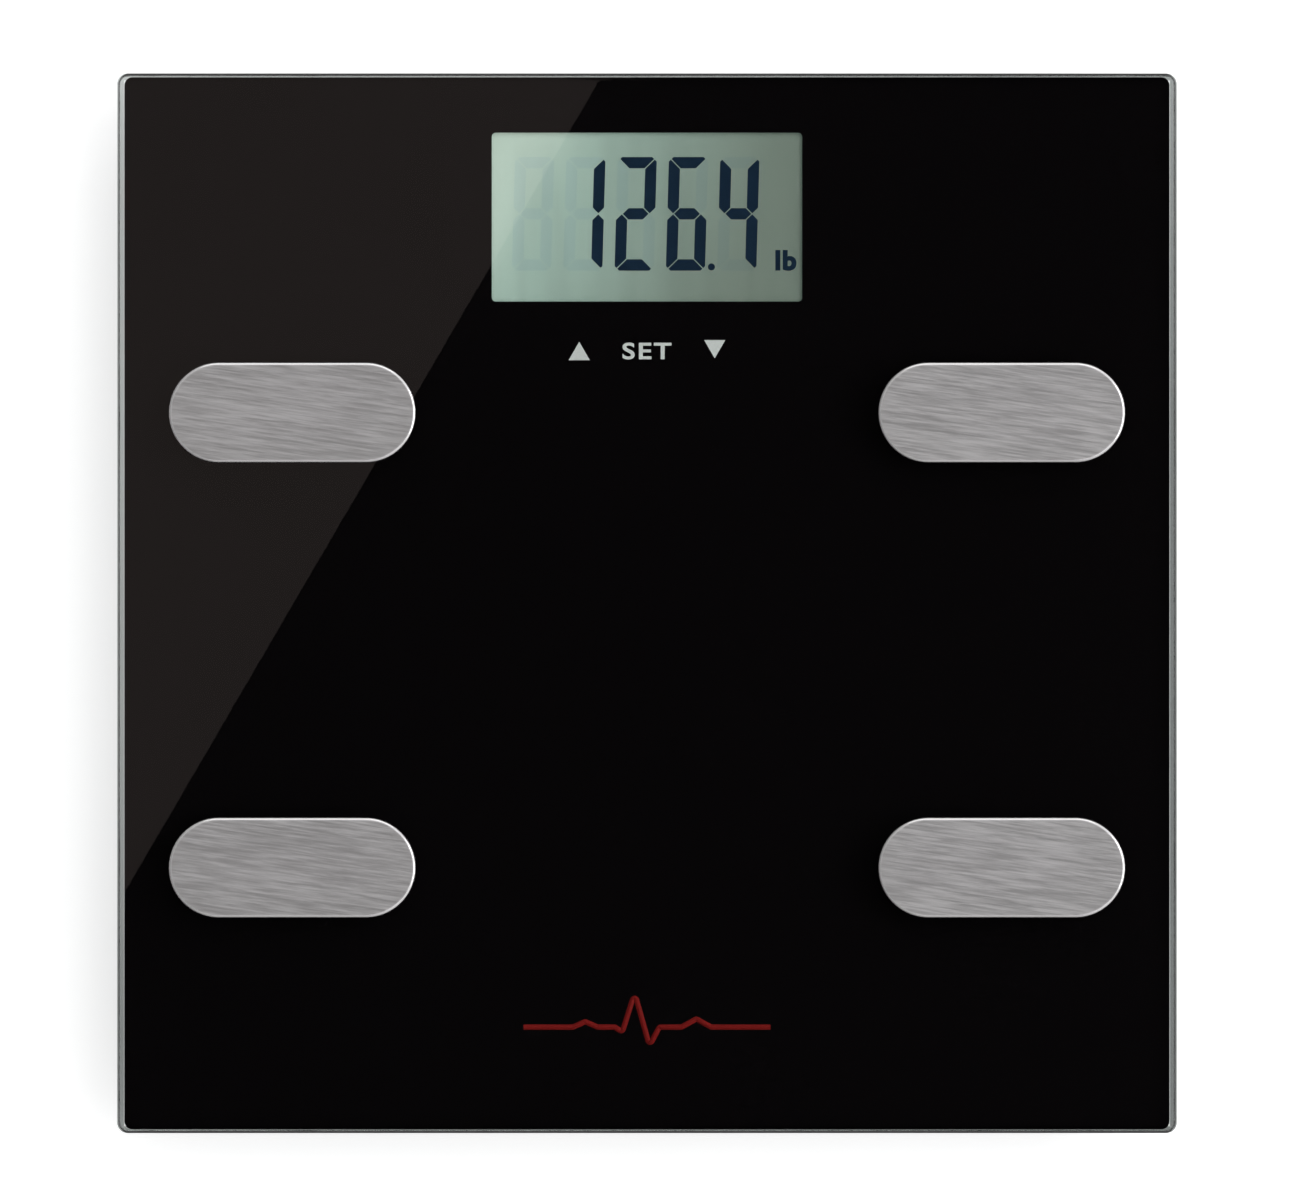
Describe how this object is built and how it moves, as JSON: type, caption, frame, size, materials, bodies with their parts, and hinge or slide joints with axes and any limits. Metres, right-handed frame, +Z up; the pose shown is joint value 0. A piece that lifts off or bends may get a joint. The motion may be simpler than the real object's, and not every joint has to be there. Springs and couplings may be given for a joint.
{
  "type": "bathroom scale",
  "caption": "Square glass bathroom scale with steel foot electrodes, LCD window, touch keys, load-cell feet and a battery bay with a hinged door underneath.",
  "frame": {"origin": "on the floor under the middle of the glass", "axes": "+Z up, +Y towards the edge with the display, +X to the right of someone who reads it"},
  "size_m": [0.3, 0.3, 0.0259],
  "materials": {
    "clear_glass": "polished, clear",
    "black_print": "black print seen through glass",
    "foam_tape": "white foam",
    "stainless": "brushed along the length",
    "clear_adhesive": "clear",
    "nickel_plate": "satin nickel",
    "tinned_copper": "tinned",
    "display_glass": "polished",
    "display_film": "matt grey-green",
    "reflector_film": "satin",
    "conductive_rubber": "matt",
    "grey_abs": "fine texture",
    "white_abs": "fine texture",
    "board_laminate": "satin solder mask",
    "black_resin": "glossy potting resin",
    "component_ceramic": "matt",
    "capacitor_sleeve": "shiny sleeve",
    "steel_can": "satin",
    "spring_steel": "nickel plated",
    "zinc_screw": "zinc plated",
    "black_abs": "fine texture",
    "cell_steel": "nickel plated plate",
    "gauge_silicone": "soft white",
    "foot_plastic": "satin",
    "pad_rubber": "matt",
    "battery_jacket": "printed sleeve",
    "foam_pad": "open foam",
    "lead_sleeve": "PVC insulation in several colours"
  },
  "bodies": {
    "base": {"back_film": "black_print", "base_tray": "grey_abs", "battery_1": "battery_jacket", "battery_2": "battery_jacket", "battery_3": "battery_jacket", "battery_4": "battery_jacket", "battery_leads": "lead_sleeve", "battery_link_left_front": "spring_steel", "battery_link_left_rear": "spring_steel", "battery_link_right_middle": "spring_steel", "battery_terminal_negative": "spring_steel", "battery_terminal_positive": "spring_steel", "board_components": "component_ceramic", "board_screws": "zinc_screw", "bonding_tape": "foam_tape", "capacitor": "capacitor_sleeve", "collar_screws": "zinc_screw", "controller_blob": "black_resin", "crystal": "steel_can", "electrode_adhesive_pads": "clear_adhesive", "electrode_front_left": "stainless", "electrode_front_right": "stainless", "electrode_leads": "lead_sleeve", "electrode_nuts": "nickel_plate", "electrode_rear_left": "stainless", "electrode_rear_right": "stainless", "electrode_ring_terminals": "tinned_copper", "foot_collars": "foot_plastic", "glass_platform": "clear_glass", "lcd_bezel": "white_abs", "lcd_panel": "display_glass", "lcd_polariser": "display_film", "lcd_reflector": "reflector_film", "load_cell_front_left": "cell_steel", "load_cell_front_right": "cell_steel", "load_cell_leads_left": "lead_sleeve", "load_cell_leads_right": "lead_sleeve", "load_cell_rear_left": "cell_steel", "load_cell_rear_right": "cell_steel", "main_board": "board_laminate", "strain_gauges": "gauge_silicone", "touch_spring_down": "spring_steel", "touch_spring_set": "spring_steel", "touch_spring_up": "spring_steel", "unit_switch": "steel_can", "zebra_strip": "conductive_rubber"},
    "foot_rear_left": {"foot_rear_left": "foot_plastic", "foot_pad_rear_left": "pad_rubber"},
    "foot_rear_right": {"foot_rear_right": "foot_plastic", "foot_pad_rear_right": "pad_rubber"},
    "foot_front_left": {"foot_front_left": "foot_plastic", "foot_pad_front_left": "pad_rubber"},
    "foot_front_right": {"foot_front_right": "foot_plastic", "foot_pad_front_right": "pad_rubber"},
    "unit_button": {"unit_button": "black_abs", "unit_switch_plunger": "black_abs"},
    "battery_door": {"battery_door": "grey_abs", "battery_door_foam": "foam_pad", "battery_door_latch": "grey_abs"}
  },
  "joints": [
    {"name": "foot_travel_rear_left", "type": "slide", "parent": "base", "child": "foot_rear_left", "axis": [0, 0, 1], "range_m": [0, 0.0006], "stiffness_N_per_m": 4000, "deforming": ["load_cell_rear_left"]},
    {"name": "foot_travel_rear_right", "type": "slide", "parent": "base", "child": "foot_rear_right", "axis": [0, 0, 1], "range_m": [0, 0.0006], "stiffness_N_per_m": 4000, "deforming": ["load_cell_rear_right"]},
    {"name": "foot_travel_front_left", "type": "slide", "parent": "base", "child": "foot_front_left", "axis": [0, 0, 1], "range_m": [0, 0.0006], "stiffness_N_per_m": 4000, "deforming": ["load_cell_front_left"]},
    {"name": "foot_travel_front_right", "type": "slide", "parent": "base", "child": "foot_front_right", "axis": [0, 0, 1], "range_m": [0, 0.0006], "stiffness_N_per_m": 4000, "deforming": ["load_cell_front_right"]},
    {"name": "press_unit_button", "type": "slide", "parent": "base", "child": "unit_button", "axis": [0, 0, 1], "range_m": [0, 0.0006], "stiffness_N_per_m": 1500},
    {"name": "open_battery_door", "type": "hinge", "parent": "base", "child": "battery_door", "pos_m": [0, 0.0232, 0.0048], "axis": [1, 0, 0], "range_deg": [0, 75], "deforming": ["battery_door_latch"]}
  ]
}
